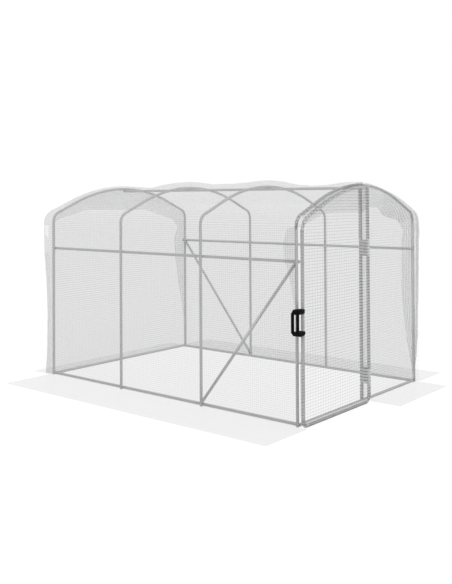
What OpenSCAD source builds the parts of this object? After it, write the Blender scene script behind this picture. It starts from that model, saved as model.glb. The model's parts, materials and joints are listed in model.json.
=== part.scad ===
// Walk-in polytunnel greenhouse: steel hoops joined by rails and braces, a film
// cover with ground flaps, and a half-width hinged door at the front end.
// Millimetres. X runs across the tunnel, Y along it with the door at -Y, Z up.
// "Near" pieces are on the -X side and "far" pieces on the +X side.

/* [Tubes] */
// Outside diameter of every frame tube
tube_d = 25; // [19:1:30]
// Gap left between pieces that are bolted, clipped or stretched together
seat_gap = 0.3; // [0.1:0.1:0.5]

/* [Hoops] */
// Distance between the post centres across the tunnel
span = 1975; // [1700:25:2600]
// Distance from one hoop to the next
bay = 1000; // [700:50:1400]
// Height at which the wall line and the roof line would cross
eave_h = 1620; // [1540:10:2000]
// Slope of the straight part of the roof, in degrees
roof_pitch = 23.2; // [18:0.2:30]
// Centre-line radius of the bend at the eaves
eave_r = 100; // [70:5:180]
// Centre-line radius of the crown
crown_r = 1740; // [1000:20:2200]

/* [Rails] */
// Height of the waist rails
waist_h = 1282; // [900:2:1300]
// Height of a brace's lower end, where its line meets the post
brace_foot_h = 25; // [20:1:120]

/* [Door] */
// Distance from the front hoop's plane to the door's plane
door_gap = 68; // [60:1:90]
// How far the door's outline reaches past the hoop's outline
door_outset = 18; // [12:1:24]
// How far the door's arch lies below the hoop's
door_drop = 35; // [30:1:60]
// Gap under the door's bottom rail
door_lift = 3.5; // [3.5:0.5:60]
// Centre-line radius of the door's bottom corners
door_corner_r = 65; // [40:1:90]
// Height of the lower hinge's middle
hinge_low_h = 236; // [160:2:400]
// Height of the upper hinge's middle
hinge_high_h = 1344; // [1000:2:1400]
// Height of a hinge
hinge_h = 138; // [60:2:180]
// Wall of the hinge's collar and eye
hinge_wall = 4; // [3:0.5:6]
// Radial running clearance of the hinge stile in its eye
hinge_play = 0.1; // [0.05:0.01:0.1]

/* [Handle] */
// Height of the handle's middle
handle_mid_h = 823; // [600:1:1000]
// Height of the whole handle
handle_h = 203; // [160:1:260]
// Reach of the grips sideways from the lock stile
handle_reach = 105; // [90:1:140]
// Thickness of the grips
grip_d = 19; // [12:1:22]
// Distance between the inner and the outer grip
grip_gap = 47; // [40:1:60]
// Cut across each outer corner of the handle
grip_chamfer = 28; // [12:1:30]
// Height of each arm from the grips to the lock stile
arm_h = 34; // [30:1:50]
// Wall of the arm beside the lock stile
arm_wall = 7; // [5:0.5:10]

/* [Cover] */
// Thickness of the film
film_t = 2; // [1:0.5:3]
// Length of roof and wall film past the end hoops
overhang = 90; // [40:5:140]

/* [Ground flaps] */
// Width of the flaps along the side walls
side_flap_w = 530; // [200:10:700]
// Width of the flaps along the end walls
end_flap_w = 305; // [100:5:500]
// Length of the side flaps past the front hoop
flap_past_front = 95; // [20:5:140]
// Length of the side flaps past the back hoop
flap_past_back = 30; // [20:5:140]
// Distance from the centre post to the edge of the front flap
front_flap_side = 50; // [30:5:120]

/* [Hidden] */
$fn = 64;

near = -1;
far = 1;
hoop_count = 4;
tube_r = tube_d / 2;
post_x = span / 2;
end_y = bay * (hoop_count - 1) / 2;

// The hoop's centre line: wall, eave bend, straight roof, crown
eave_turn = 90 - roof_pitch;
eave_tan_h = eave_h - eave_r * tan(eave_turn / 2);
eave_cx = post_x - eave_r;
crown_cz = eave_h + post_x * tan(roof_pitch) - crown_r / cos(roof_pitch);
apex_h = crown_cz + crown_r;
slope_len = eave_cx * cos(roof_pitch) + (crown_cz - eave_tan_h) * sin(roof_pitch);

// Rails lie against the inner side of the posts
rail_x = post_x - tube_d - seat_gap;
ridge_h = apex_h - tube_d - seat_gap;
sill_top_h = tube_d;

// The door hangs in front of the front hoop
door_y = -end_y - door_gap;
door_foot_h = door_lift + tube_r;
lock_x = -post_x - door_outset;
hinge_x = 0;
door_arch_r = crown_r + door_outset;
door_top_h = crown_cz + door_arch_r + tube_r - door_drop;
hinge_eye_r = tube_r + hinge_play + hinge_wall;
hinge_collar_r = tube_r + seat_gap + hinge_wall;
film_clear = 8;

// The handle's two grips lie inside and outside the door's plane
grip_tip_x = lock_x - handle_reach - grip_d / 2;
handle_half_y = (grip_gap + grip_d) / 2;
arm_half_y = tube_r + seat_gap + arm_wall;

// The film lies a seat gap outside the hoops
cover_in = tube_r + seat_gap;
cover_out = cover_in + film_t;
wall_in_x = post_x + cover_in;
wall_out_x = post_x + cover_out;
panel_y = end_y + cover_in;
// Over the door the roof film ends behind the door's arch
door_overhang = door_gap - tube_r - film_clear;

function hoop_y(number) = end_y - (number - 1) * bay;
function roof_normal(reach) = [reach * sin(roof_pitch), reach * cos(roof_pitch)];

// A straight tube from one point to another
module rod(from, to, d = tube_d) {
    run = to - from;
    translate(from)
        rotate([0, acos(run[2] / norm(run)), atan2(run[1], run[0])])
            cylinder(d = d, h = norm(run));
}

// A tube bent in the XZ plane, between two angles from +X towards +Z
module bend(centre_x, centre_z, radius, start, stop) {
    translate([centre_x, 0, centre_z])
        rotate([90, 0, 0])
            rotate([0, 0, start])
                rotate_extrude(angle = stop - start)
                    translate([radius, 0])
                        circle(d = tube_d);
}

// Eave bend, straight roof and part of the crown on the +X side, as one bent tube
// that runs an inset inside the hoop's line
module roof_tube(inset, crown_turn) {
    translate([eave_cx, 0, eave_tan_h])
        rotate([0, roof_pitch, 0]) {
            mirror([1, 0, 0])
                bend(0, 0, eave_r - inset, 90, 90 + eave_turn);
            translate([0, 0, eave_r - inset])
                rotate([0, -90, 0])
                    cylinder(d = tube_d, h = slope_len);
            bend(-slope_len, eave_r - crown_r, crown_r - inset, 90, 90 + crown_turn);
        }
}

// The tunnel's cross-section, grown outwards from the hoop's centre line
module section(grow) {
    eave_end = [eave_cx, eave_tan_h] + roof_normal(eave_r + grow);
    crown_end = [0, crown_cz] + roof_normal(crown_r + grow);
    wedge_end = roof_normal(2 * crown_r) + [0, crown_cz];
    union() {
        polygon([
            [post_x + grow, 0], [post_x + grow, eave_tan_h], eave_end, crown_end,
            [-crown_end[0], crown_end[1]], [-eave_end[0], eave_end[1]],
            [-post_x - grow, eave_tan_h], [-post_x - grow, 0]
        ]);
        for (side = [near, far])
            translate([side * eave_cx, eave_tan_h])
                circle(r = eave_r + grow);
        intersection() {
            translate([0, crown_cz])
                circle(r = crown_r + grow);
            polygon([[0, crown_cz], wedge_end, [-wedge_end[0], wedge_end[1]]]);
        }
    }
}

// Stands a drawing up in the XZ plane and gives it depth from back_y towards -Y
module upright(back_y, depth) {
    translate([0, back_y, 0])
        rotate([90, 0, 0])
            linear_extrude(depth)
                children();
}

module block(low, high) {
    translate(low)
        cube(high - low);
}

module hoop_post(number, side) {
    color("silver")
        translate([side * post_x, hoop_y(number), 0])
            cylinder(d = tube_d, h = eave_tan_h - seat_gap);
}

// Half a bow: it stands on its post and meets the other half at the ridge
module hoop_bow(number, side) {
    color("silver")
        translate([0, hoop_y(number), 0])
            mirror([side == near ? 1 : 0, 0, 0])
                roof_tube(0, roof_pitch - asin(seat_gap / 2 / crown_r));
}

module ridge_tube() {
    color("silver")
        rod([0, -end_y + tube_r + seat_gap, ridge_h], [0, end_y + tube_r, ridge_h]);
}

module long_rail(side, height) {
    color("silver")
        rod([side * rail_x, -end_y - tube_r, height], [side * rail_x, end_y + tube_r, height]);
}

module end_base_rail(place_y) {
    reach = rail_x - tube_r - seat_gap;
    color("silver")
        rod([-reach, place_y, tube_r], [reach, place_y, tube_r]);
}

// A brace rises from the foot of one post to the next post at waist height,
// with both ends cut upright to lie against the posts
module brace(side, foot_y, head_y) {
    low_y = min(foot_y, head_y) + tube_r + seat_gap;
    high_y = max(foot_y, head_y) - tube_r - seat_gap;
    color("silver")
        intersection() {
            rod([side * post_x, foot_y, brace_foot_h], [side * post_x, head_y, waist_h]);
            block([side * post_x - tube_d, low_y, 0], [side * post_x + tube_d, high_y, eave_h]);
        }
}

module centre_post() {
    color("silver")
        rod([0, -end_y, sill_top_h + seat_gap], [0, -end_y, apex_h - tube_r - seat_gap]);
}

// A collar on the centre post, an eye round the door's stile and the web between them
module hinge(middle_h) {
    eye = [hinge_x, -door_gap];
    color("dimgray")
        translate([0, -end_y, middle_h - hinge_h / 2])
            linear_extrude(hinge_h)
                difference() {
                    union() {
                        circle(r = hinge_collar_r);
                        translate(eye)
                            circle(r = hinge_eye_r);
                        rotate(atan2(eye[1], eye[0]))
                            translate([0, -hinge_wall])
                                square([norm(eye), 2 * hinge_wall]);
                    }
                    circle(r = tube_r + seat_gap);
                    translate(eye)
                        circle(r = tube_r + hinge_play);
                }
}

module hinge_lower() {
    hinge(hinge_low_h);
}

module hinge_upper() {
    hinge(hinge_high_h);
}

// A tube bent into a U: lock stile, bottom rail and hinge stile
module door_stiles() {
    low_h = door_foot_h + door_corner_r;
    color("silver")
        translate([0, door_y, 0]) {
            rod([lock_x, 0, low_h], [lock_x, 0, eave_tan_h - door_drop - seat_gap]);
            bend(lock_x + door_corner_r, low_h, door_corner_r, 180, 270);
            rod([lock_x + door_corner_r, 0, door_foot_h], [hinge_x - door_corner_r, 0, door_foot_h]);
            bend(hinge_x - door_corner_r, low_h, door_corner_r, 270, 360);
            rod([hinge_x, 0, low_h], [hinge_x, 0, door_top_h]);
        }
}

// The door's top follows the hoop from the lock stile to the hinge stile
module door_arch() {
    end_x = hinge_x - tube_r - seat_gap;
    color("silver")
        translate([0, door_y, -door_drop])
            mirror([1, 0, 0])
                roof_tube(-door_outset, roof_pitch + asin(end_x / door_arch_r));
}

// What a round corner leaves of a square one, towards -Z and the given side
module corner_waste(corner_x, corner_z, side) {
    radius = door_corner_r + tube_r;
    centre = [corner_x - side * radius, corner_z + radius];
    difference() {
        translate([min(corner_x, centre[0]), corner_z])
            square(radius);
        translate(centre)
            circle(r = radius);
    }
}

// A notch in a film's edge, seen from the front
module notch(left_x, right_x, middle_h, height) {
    translate([left_x, middle_h - height / 2 - film_clear])
        square([right_x - left_x, height + 2 * film_clear]);
}

// The door's film is stretched over the outside of its frame
module door_film() {
    left_x = lock_x - tube_r;
    right_x = hinge_x + tube_r;
    low_h = door_foot_h - tube_r;
    color("whitesmoke", 0.6)
        upright(door_y - cover_in, film_t)
            difference() {
                intersection() {
                    translate([0, -door_drop])
                        section(door_outset + tube_r);
                    translate([left_x, low_h])
                        square([right_x - left_x, apex_h]);
                }
                corner_waste(left_x, low_h, near);
                corner_waste(right_x, low_h, far);
                for (middle_h = [hinge_low_h, hinge_high_h])
                    notch(hinge_x - hinge_eye_r - film_clear, right_x + tube_d, middle_h, hinge_h);
                for (end = [-1, 1])
                    notch(left_x - tube_d, lock_x + film_clear, handle_mid_h + end * (handle_h - arm_h) / 2, arm_h);
            }
}

// The handle from the side: its two outer corners are cut off
module handle_side() {
    half_h = handle_h / 2;
    polygon([
        [lock_x, -half_h], [grip_tip_x + grip_chamfer, -half_h], [grip_tip_x, -half_h + grip_chamfer],
        [grip_tip_x, half_h - grip_chamfer], [grip_tip_x + grip_chamfer, half_h], [lock_x, half_h]
    ]);
}

// The handle from above: the arms narrow from the grips to the lock stile
module handle_plan() {
    shoulder_x = lock_x - handle_reach / 2;
    polygon([
        [grip_tip_x, -handle_half_y], [shoulder_x, -handle_half_y], [lock_x, -arm_half_y],
        [lock_x, arm_half_y], [shoulder_x, handle_half_y], [grip_tip_x, handle_half_y]
    ]);
}

// Two grips side by side, one for each face of the door, on arms that seat on the lock stile
module door_handle() {
    window_half_h = handle_h / 2 - arm_h;
    slot_half_y = (grip_gap - grip_d) / 2;
    color("black")
        translate([0, door_y, handle_mid_h])
            difference() {
                intersection() {
                    translate([0, 0, -handle_h / 2])
                        linear_extrude(handle_h)
                            handle_plan();
                    upright(handle_half_y, 2 * handle_half_y)
                        handle_side();
                }
                block(
                    [grip_tip_x + grip_d, -2 * handle_half_y, -window_half_h],
                    [lock_x + tube_d, 2 * handle_half_y, window_half_h]
                );
                block(
                    [grip_tip_x - grip_d, -slot_half_y, -window_half_h],
                    [lock_x + tube_d, slot_half_y, window_half_h]
                );
                translate([lock_x, 0, -handle_h])
                    cylinder(r = tube_r + seat_gap, h = 2 * handle_h);
            }
}

// Wall film hangs from the eaves to the flap on the ground
module cover_side(side, front_y) {
    low_x = side == near ? -wall_out_x : wall_in_x;
    color("whitesmoke", 0.6)
        block([low_x, front_y, film_t], [low_x + film_t, end_y + overhang, eave_tan_h]);
}

module cover_near_side() {
    cover_side(near, -panel_y);
}

module cover_far_side() {
    cover_side(far, -end_y - overhang);
}

module cover_roof() {
    color("whitesmoke", 0.6)
        difference() {
            upright(end_y + overhang, 2 * (end_y + overhang))
                difference() {
                    section(cover_out);
                    section(cover_in);
                    translate([-span, 0])
                        square([2 * span, eave_tan_h]);
                }
            block(
                [-span, -end_y - 2 * overhang, 0],
                [hinge_x + tube_r + film_clear, -end_y - door_overhang, apex_h + 2 * cover_out]
            );
        }
}

// End films reach the hoop's outer line and stand on the end flaps
module end_film(back_y, left_x) {
    upright(back_y, film_t)
        intersection() {
            section(tube_r);
            translate([left_x, film_t])
                square([span - left_x, apex_h]);
        }
}

module cover_back_end() {
    color("whitesmoke", 0.6)
        end_film(panel_y + film_t, -span);
}

module cover_front_panel() {
    color("whitesmoke", 0.6)
        difference() {
            end_film(-panel_y, -tube_r);
            for (middle_h = [hinge_low_h, hinge_high_h])
                upright(-end_y, door_gap)
                    notch(-tube_d, hinge_collar_r + film_clear, middle_h, hinge_h);
        }
}

module side_flap(side) {
    inner_x = side * wall_in_x;
    outer_x = side * (wall_out_x + side_flap_w);
    color("whitesmoke", 0.6)
        block(
            [min(inner_x, outer_x), -end_y - flap_past_front, 0],
            [max(inner_x, outer_x), end_y + flap_past_back, film_t]
        );
}

module near_flap() {
    side_flap(near);
}

module far_flap() {
    side_flap(far);
}

module back_flap() {
    color("whitesmoke", 0.6)
        block([-post_x - tube_r, panel_y, 0], [post_x + tube_r, panel_y + film_t + end_flap_w, film_t]);
}

// The front flap lies beside the doorway only
module front_flap() {
    color("whitesmoke", 0.6)
        block([front_flap_side, -panel_y - film_t - end_flap_w, 0], [post_x + tube_r, -panel_y, film_t]);
}

for (number = [1 : hoop_count]) {
    hoop_post(number, near);
    hoop_bow(number, near);
    hoop_bow(number, far);
    hoop_post(number, far);
}
ridge_tube();
long_rail(near, waist_h);  // near_waist_rail
long_rail(far, waist_h);  // far_waist_rail
long_rail(near, tube_r);  // near_base_rail
long_rail(far, tube_r);  // far_base_rail
end_base_rail(end_y);  // back_base_rail
end_base_rail(-end_y);  // front_base_rail
brace(near, hoop_y(3), hoop_y(4));  // near_brace
brace(far, hoop_y(2), hoop_y(1));  // far_brace
centre_post();
hinge_lower();
hinge_upper();
door_stiles();
door_arch();
door_film();
door_handle();
cover_near_side();
cover_far_side();
cover_roof();
cover_back_end();
cover_front_panel();
near_flap();
far_flap();
back_flap();
front_flap();
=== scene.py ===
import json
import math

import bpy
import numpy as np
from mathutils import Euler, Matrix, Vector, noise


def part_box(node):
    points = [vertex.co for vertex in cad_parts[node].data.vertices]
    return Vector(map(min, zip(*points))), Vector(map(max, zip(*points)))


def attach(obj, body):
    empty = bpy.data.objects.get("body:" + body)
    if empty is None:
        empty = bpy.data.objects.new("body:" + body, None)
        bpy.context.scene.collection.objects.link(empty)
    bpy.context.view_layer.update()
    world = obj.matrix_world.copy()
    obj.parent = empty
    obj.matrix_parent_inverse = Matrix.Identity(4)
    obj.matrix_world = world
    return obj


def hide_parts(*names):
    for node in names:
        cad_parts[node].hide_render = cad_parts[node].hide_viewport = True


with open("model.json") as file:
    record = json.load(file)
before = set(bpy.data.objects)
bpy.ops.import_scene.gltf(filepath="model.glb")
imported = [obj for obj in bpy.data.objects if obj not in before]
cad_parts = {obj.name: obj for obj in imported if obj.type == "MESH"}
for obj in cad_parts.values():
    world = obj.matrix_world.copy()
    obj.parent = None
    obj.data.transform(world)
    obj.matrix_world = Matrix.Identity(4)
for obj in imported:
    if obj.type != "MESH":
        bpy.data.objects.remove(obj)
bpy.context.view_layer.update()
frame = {"nodes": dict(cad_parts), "record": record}

# %% [markdown]
# A walk-in polytunnel greenhouse: grey steel hoops, rails and braces under a thin
# reinforced film, with flaps of the same film on the ground and a door in the left half
# of the front end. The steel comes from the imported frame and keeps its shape. This
# lesson adds the film, which is the whole look of the object, the moulded handle, the
# latch's knob and the finishes.

# %% [markdown]
# The camera comes first, because all that follows is checked through it. The posts
# stand parallel in the picture, so the camera is level and a lens shift slides the
# frame down. Its place was worked out from the feet and heads of the posts.

# %% Camera
PICTURE_H = 584
FOCAL_PX = 796.3
HORIZON_PX = 184.5
CAMERA_AT = (-6.124, -5.053, 1.780)
CAMERA_YAW = 50.30
CAMERA_PITCH = 1.00
CAMERA_ROLL = 0.315

camera_data = bpy.data.cameras.new("camera")
camera_data.sensor_width = 36.0
camera_data.lens = camera_data.sensor_width * FOCAL_PX / PICTURE_H
camera_data.shift_y = (HORIZON_PX - PICTURE_H / 2) / PICTURE_H
camera = bpy.data.objects.new("camera", camera_data)
camera.location = CAMERA_AT
camera.rotation_euler = Euler(
    (math.radians(90 + CAMERA_PITCH), math.radians(CAMERA_ROLL), math.radians(-CAMERA_YAW)), "XYZ")
bpy.context.scene.collection.objects.link(camera)
bpy.context.scene.camera = camera
print("lens", round(camera_data.lens, 2), "mm, shift", round(camera_data.shift_y, 3))

# %% [markdown]
# Film that lets most light through shows only as a grey veil, and more light would
# bleach it, so the world is white to rays that show it and lights the object at a plain
# level. The floor glows in the same way and keeps some real shading for a soft shadow.
# A sun with a wide disc leaves no hard edge.

# %% World
WORLD_LEVEL = 0.85
WHITE = (1, 1, 1, 1)


def shader_node(tree, kind, group=None, **values):
    """A shader node with some inputs set; an underscore stands for a space."""
    made = tree.nodes.new("ShaderNode" + kind)
    if group is not None:
        made.node_tree = group
    for name, value in values.items():
        made.inputs[name.replace("_", " ")].default_value = value
    return made


def math_node(tree, operation, *values):
    """A Math node; each value is a number or another node's output."""
    node = shader_node(tree, "Math")
    node.operation = operation
    for place, value in enumerate(values):
        if isinstance(value, (int, float)):
            node.inputs[place].default_value = value
        else:
            tree.links.new(value, node.inputs[place])
    return node.outputs[0]


def lit_and_seen(tree, lit, seen, output, share=1.0):
    """Mix a shader that lights with one for rays that see, mirror or look through to it."""
    ray = shader_node(tree, "LightPath").outputs
    shows = math_node(tree, "MAXIMUM", ray["Is Camera Ray"], ray["Is Glossy Ray"])
    shows = math_node(tree, "MAXIMUM", shows, ray["Is Transmission Ray"])
    mix = shader_node(tree, "MixShader")
    tree.links.new(math_node(tree, "MULTIPLY", shows, share), mix.inputs["Fac"])
    tree.links.new(lit.outputs[0], mix.inputs[1])
    tree.links.new(seen.outputs[0], mix.inputs[2])
    tree.links.new(mix.outputs[0], shader_node(tree, output).inputs["Surface"])


world = bpy.data.worlds.new("studio")
world.use_nodes = True
bpy.context.scene.world = world
tree = world.node_tree
tree.nodes.clear()
lit_and_seen(tree, shader_node(tree, "Background", Color=WHITE, Strength=WORLD_LEVEL),
             shader_node(tree, "Background", Color=WHITE, Strength=1.0), "OutputWorld")
print("world lights at", WORLD_LEVEL, "and shows as white")

# %% Floor
FLOOR_SIZE = 400.0
FLOOR_COLOUR = (0.93, 0.93, 0.93, 1)
FLOOR_SELF_LIT = 0.885
FLOOR_GLOW = 1.025

bpy.ops.object.select_all(action="DESELECT")
bpy.ops.mesh.primitive_plane_add(size=FLOOR_SIZE, location=(0, 0, 0))
floor = bpy.context.object
floor.name = "floor"
floor_finish = bpy.data.materials.new("pale_floor")
floor_finish.use_nodes = True
tree = floor_finish.node_tree
tree.nodes.clear()
lit_and_seen(tree, shader_node(tree, "BsdfDiffuse", Color=FLOOR_COLOUR),
             shader_node(tree, "Emission", Color=WHITE, Strength=FLOOR_GLOW),
             "OutputMaterial", FLOOR_SELF_LIT)
floor.data.materials.append(floor_finish)
print("floor", FLOOR_SIZE, "m wide")

# %% Sun
KEY_ANGLE = math.radians(40)
KEY_STRENGTH = 0.9
KEY_TILT = math.radians(38)
KEY_TURN = math.radians(-25)

key_data = bpy.data.lights.new("key", "SUN")
key_data.energy = KEY_STRENGTH
key_data.angle = KEY_ANGLE
key = bpy.data.objects.new("key", key_data)
key.rotation_euler = Euler((KEY_TILT, 0, KEY_TURN), "XYZ")
bpy.context.scene.collection.objects.link(key)
bpy.context.scene.view_settings.view_transform = "Standard"
print("one sun of", KEY_STRENGTH, "with a disc of", round(math.degrees(KEY_ANGLE)), "degrees")

# %% [markdown]
# The film hangs on the hoops, so the sizes that shape it are read from the frame. Only
# the radii and the roof's slope can't be read from boxes, and they are the ones that
# the bows were bent to. A curve object could follow a hoop, but the film is measured
# along it, so a function gives place and direction for a length.

# %% Sizes taken from the frame
EAVE_R = 0.100
CROWN_R = 1.740
ROOF_PITCH = math.radians(23.2)
EAVE_TURN = math.pi / 2 - ROOF_PITCH

post_low, post_high = (Vector(corner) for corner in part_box("hoop_4_near_post"))
TUBE_R = (post_high.x - post_low.x) / 2
POST_X = -(post_low.x + post_high.x) / 2
FRONT_Y = (post_low.y + post_high.y) / 2
BACK_Y = -FRONT_Y
EAVE_Z = post_high.z
HOOP_Y = [BACK_Y + (FRONT_Y - BACK_Y) * number / 3 for number in range(4)]
APEX_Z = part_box("hoop_1_near_bow")[1][2] - TUBE_R
EAVE_CX = POST_X - EAVE_R
CROWN_CZ = APEX_Z - CROWN_R
CROWN_X = CROWN_R * math.sin(ROOF_PITCH)
EAVE_END_X = EAVE_CX + EAVE_R * math.sin(ROOF_PITCH)
SLOPE_LEN = (EAVE_END_X - CROWN_X) / math.cos(ROOF_PITCH)
# Lengths along the hoop's centre line, from the ground on the near side
AT_EAVE = EAVE_Z
AT_SLOPE = AT_EAVE + EAVE_R * EAVE_TURN
AT_CROWN = AT_SLOPE + SLOPE_LEN
AT_APEX = AT_CROWN + CROWN_R * ROOF_PITCH
GIRTH = 2 * AT_APEX
print("hoop girth", round(GIRTH, 3), "m, hoops at", [round(y, 3) for y in HOOP_Y])

# %% The hoop's line


def hoop_line(run):
    """Point (x, z) and outward normal of a hoop's centre line, a run along it."""
    if run > AT_APEX:
        (x, z), (nx, nz) = hoop_line(GIRTH - run)
        return (-x, z), (-nx, nz)
    if run <= AT_EAVE:
        return (-POST_X, run), (-1.0, 0.0)
    if run <= AT_SLOPE:
        turn = (run - AT_EAVE) / EAVE_R
        nx, nz = -math.cos(turn), math.sin(turn)
        return (-EAVE_CX + EAVE_R * nx, EAVE_Z + EAVE_R * nz), (nx, nz)
    if run <= AT_CROWN:
        nx, nz = -math.sin(ROOF_PITCH), math.cos(ROOF_PITCH)
        along = run - AT_SLOPE
        x = -EAVE_END_X + along * math.cos(ROOF_PITCH)
        z = EAVE_Z + EAVE_R * nz + along * math.sin(ROOF_PITCH)
        return (x, z), (nx, nz)
    turn = (run - AT_APEX) / CROWN_R
    nx, nz = math.sin(turn), math.cos(turn)
    return (CROWN_R * nx, CROWN_CZ + CROWN_R * nz), (nx, nz)


def roof_height(x):
    """Height of the hoop's centre line over a place across the tunnel."""
    x = abs(x)
    if x <= CROWN_X:
        return CROWN_CZ + math.sqrt(CROWN_R ** 2 - x ** 2)
    if x <= EAVE_END_X:
        slope_end = EAVE_Z + EAVE_R * math.cos(ROOF_PITCH)
        return slope_end + (EAVE_END_X - x) * math.tan(ROOF_PITCH)
    reach = min(x - EAVE_CX, EAVE_R)
    return EAVE_Z + math.sqrt(max(EAVE_R ** 2 - reach ** 2, 0))


print("apex of the line", round(hoop_line(AT_APEX)[0][1], 3), "m")

# %% [markdown]
# Every sheet of film is a grid of points with a UV map in metres, so that its net keeps
# its size and follows each fold. Modifiers could bend a plane, but the sheets have to
# meet hoops, flaps and hinges at known places, so a few short functions work out their
# points.

# %% Helpers for lists of places


def eased(keys, at):
    """Value at a place on a list of (place, value) pairs, eased between them."""
    if at <= keys[0][0]:
        return keys[0][1]
    for (start, low), (stop, high) in zip(keys, keys[1:]):
        if at <= stop:
            share = (at - start) / (stop - start)
            share = share * share * (3 - 2 * share)
            return low + (high - low) * share
    return keys[-1][1]


def flowing(keys, at):
    """Value on a smooth curve through a list of (place, value) pairs."""
    places = [key[0] for key in keys]
    at = min(max(at, places[0]), places[-1])
    part = min(max(sum(place <= at for place in places) - 1, 0), len(keys) - 2)
    (start, low), (stop, high) = keys[part], keys[part + 1]
    before, after = keys[max(part - 1, 0)], keys[min(part + 2, len(keys) - 1)]
    rise_in = (high - before[1]) / (stop - before[0])
    rise_out = (after[1] - low) / (after[0] - start)
    width = stop - start
    t = (at - start) / width
    return (low * (2 * t ** 3 - 3 * t * t + 1) + high * (3 * t * t - 2 * t ** 3)
            + width * (rise_in * (t ** 3 - 2 * t * t + t) + rise_out * (t ** 3 - t * t)))


def spaced(stops, step):
    """Places from the first stop to the last, through each stop, about a step apart."""
    places = [stops[0]]
    for start, stop in zip(stops, stops[1:]):
        count = max(1, round(abs(stop - start) / step))
        places += [start + (stop - start) * (n + 1) / count for n in range(count)]
    return places


def lengths_along(points):
    """Length from the first point to each point of a row."""
    return np.cumsum([0.0] + [(b - a).length for a, b in zip(points, points[1:])])


def ripple(x, y, scale, height, seed):
    """A soft random height, the same each run."""
    return height * noise.noise(Vector((x / scale, y / scale, seed)))


print("a step of 0.4 between 0 and 1 gives", [round(p, 2) for p in spaced([0, 1], 0.4)])

# %% Sheet mesh
FLAT_FACE = 1e-8


def only(obj):
    """Select one object alone and make it active."""
    bpy.ops.object.select_all(action="DESELECT")
    obj.select_set(True)
    bpy.context.view_layer.objects.active = obj


def sheet_object(name, rows, uv_rows, keep=None):
    """A mesh from rows of points, with a UV map in metres; keep() may drop faces."""
    width = len(rows[0])
    verts = [tuple(point) for row in rows for point in row]
    uvs = [pair for row in uv_rows for pair in row]
    faces = []
    for first in range(0, width * (len(rows) - 1), width):
        for n in range(first, first + width - 1):
            corners = (n, n + 1, n + width + 1, n + width)
            a, b, c, d = (Vector(verts[corner]) for corner in corners)
            if (c - a).cross(d - b).length < FLAT_FACE:
                continue
            if keep is None or keep((a + b + c + d) / 4):
                faces.append(corners)
    mesh = bpy.data.meshes.new(name)
    mesh.from_pydata(verts, [], faces)
    layer = mesh.uv_layers.new(name="weave")
    for loop in mesh.loops:
        layer.data[loop.index].uv = uvs[loop.vertex_index]
    mesh.shade_smooth()
    obj = bpy.data.objects.new(name, mesh)
    bpy.context.scene.collection.objects.link(obj)
    only(obj)
    bpy.ops.object.mode_set(mode="EDIT")
    bpy.ops.mesh.select_all(action="SELECT")
    bpy.ops.mesh.delete_loose()
    bpy.ops.object.mode_set(mode="OBJECT")
    area = sum(polygon.area for polygon in mesh.polygons)
    print(name, len(mesh.polygons), "faces,", round(area, 3), "m2")
    return obj, area


def grid_sheet(name, across, up, place, uv, keep=None):
    """A sheet over two lists of steps: place() gives each point and uv() its UV place."""
    rows = [[place(a, b) for a in across] for b in up]
    return sheet_object(name, rows, [[uv(point) for point in row] for row in rows], keep)


def face_on(point):
    """UV place on a sheet that faces the front: its x and z."""
    return point.x, point.z


def declare_film(sheet, material, body, replaced=()):
    """Give a sheet its film and body, and hide the solids it replaces."""
    obj, area = sheet
    obj.data.materials.append(material)
    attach(obj, body)
    if replaced:
        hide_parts(*replaced)


print("faces under", FLAT_FACE, "m2 are left out")

# %% [markdown]
# The film is clear plastic with a net of threads laminated into it, each a thin grey
# line. An image of the net would blur close up, so a node group draws it from the UV
# map in metres, and each film only says how large its meshes are.

# %% The net in the film


def group_sockets(tree, inputs, outputs):
    """Give a node group its named inputs, with defaults, and its outputs."""
    for name, kind, default in inputs:
        made = tree.interface.new_socket(name=name, in_out="INPUT", socket_type="NodeSocket" + kind)
        if default is not None:
            made.default_value = default
    for name, kind in outputs:
        tree.interface.new_socket(name=name, in_out="OUTPUT", socket_type="NodeSocket" + kind)
    return tree.nodes.new("NodeGroupInput").outputs, tree.nodes.new("NodeGroupOutput").inputs


def make_net_group():
    """Mask of a woven net: 1 on a crosswise thread, less on a lengthwise one, 0 between."""
    tree = bpy.data.node_groups.new("woven_net", "ShaderNodeTree")
    given, made = group_sockets(tree, [
        ("UV", "Vector", None), ("Mesh Width", "Float", 0.02), ("Mesh Height", "Float", 0.02),
        ("Thread Share", "Float", 0.16), ("Upright Thread", "Float", 0.4)], [("Thread", "Float")])
    split = shader_node(tree, "SeparateXYZ")
    tree.links.new(given["UV"], split.inputs[0])
    half = math_node(tree, "MULTIPLY", given["Thread Share"], 0.5)
    lines = []
    for axis, size in (("X", "Mesh Width"), ("Y", "Mesh Height")):
        cells = math_node(tree, "DIVIDE", split.outputs[axis], given[size])
        part = math_node(tree, "FRACT", cells)
        off = math_node(tree, "ABSOLUTE", math_node(tree, "SUBTRACT", part, 0.5))
        lines.append(math_node(tree, "LESS_THAN", off, half))
    upright = math_node(tree, "MULTIPLY", lines[0], given["Upright Thread"])
    tree.links.new(math_node(tree, "MAXIMUM", upright, lines[1]), made["Thread"])
    return tree


NET = make_net_group()
print("node group", NET.name)

# %% [markdown]
# The same film looks different where it is single, doubled, rolled round a tube or
# flat on the floor. One material would lose that, so one function makes a set of them.
# Each gives its mesh, the threads' share of it, the alphas of thread and plastic, the
# strength of the lengthwise threads and the plastic's grey.

# %% One function for every film
THREAD_COLOUR = (0.06, 0.06, 0.062, 1)
FILM_ROUGHNESS = 0.38


def plastic_grey(level):
    """Grey of the plastic between the threads, a trace cooler than neutral."""
    return (level, level + 0.005, level + 0.005, 1)


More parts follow.
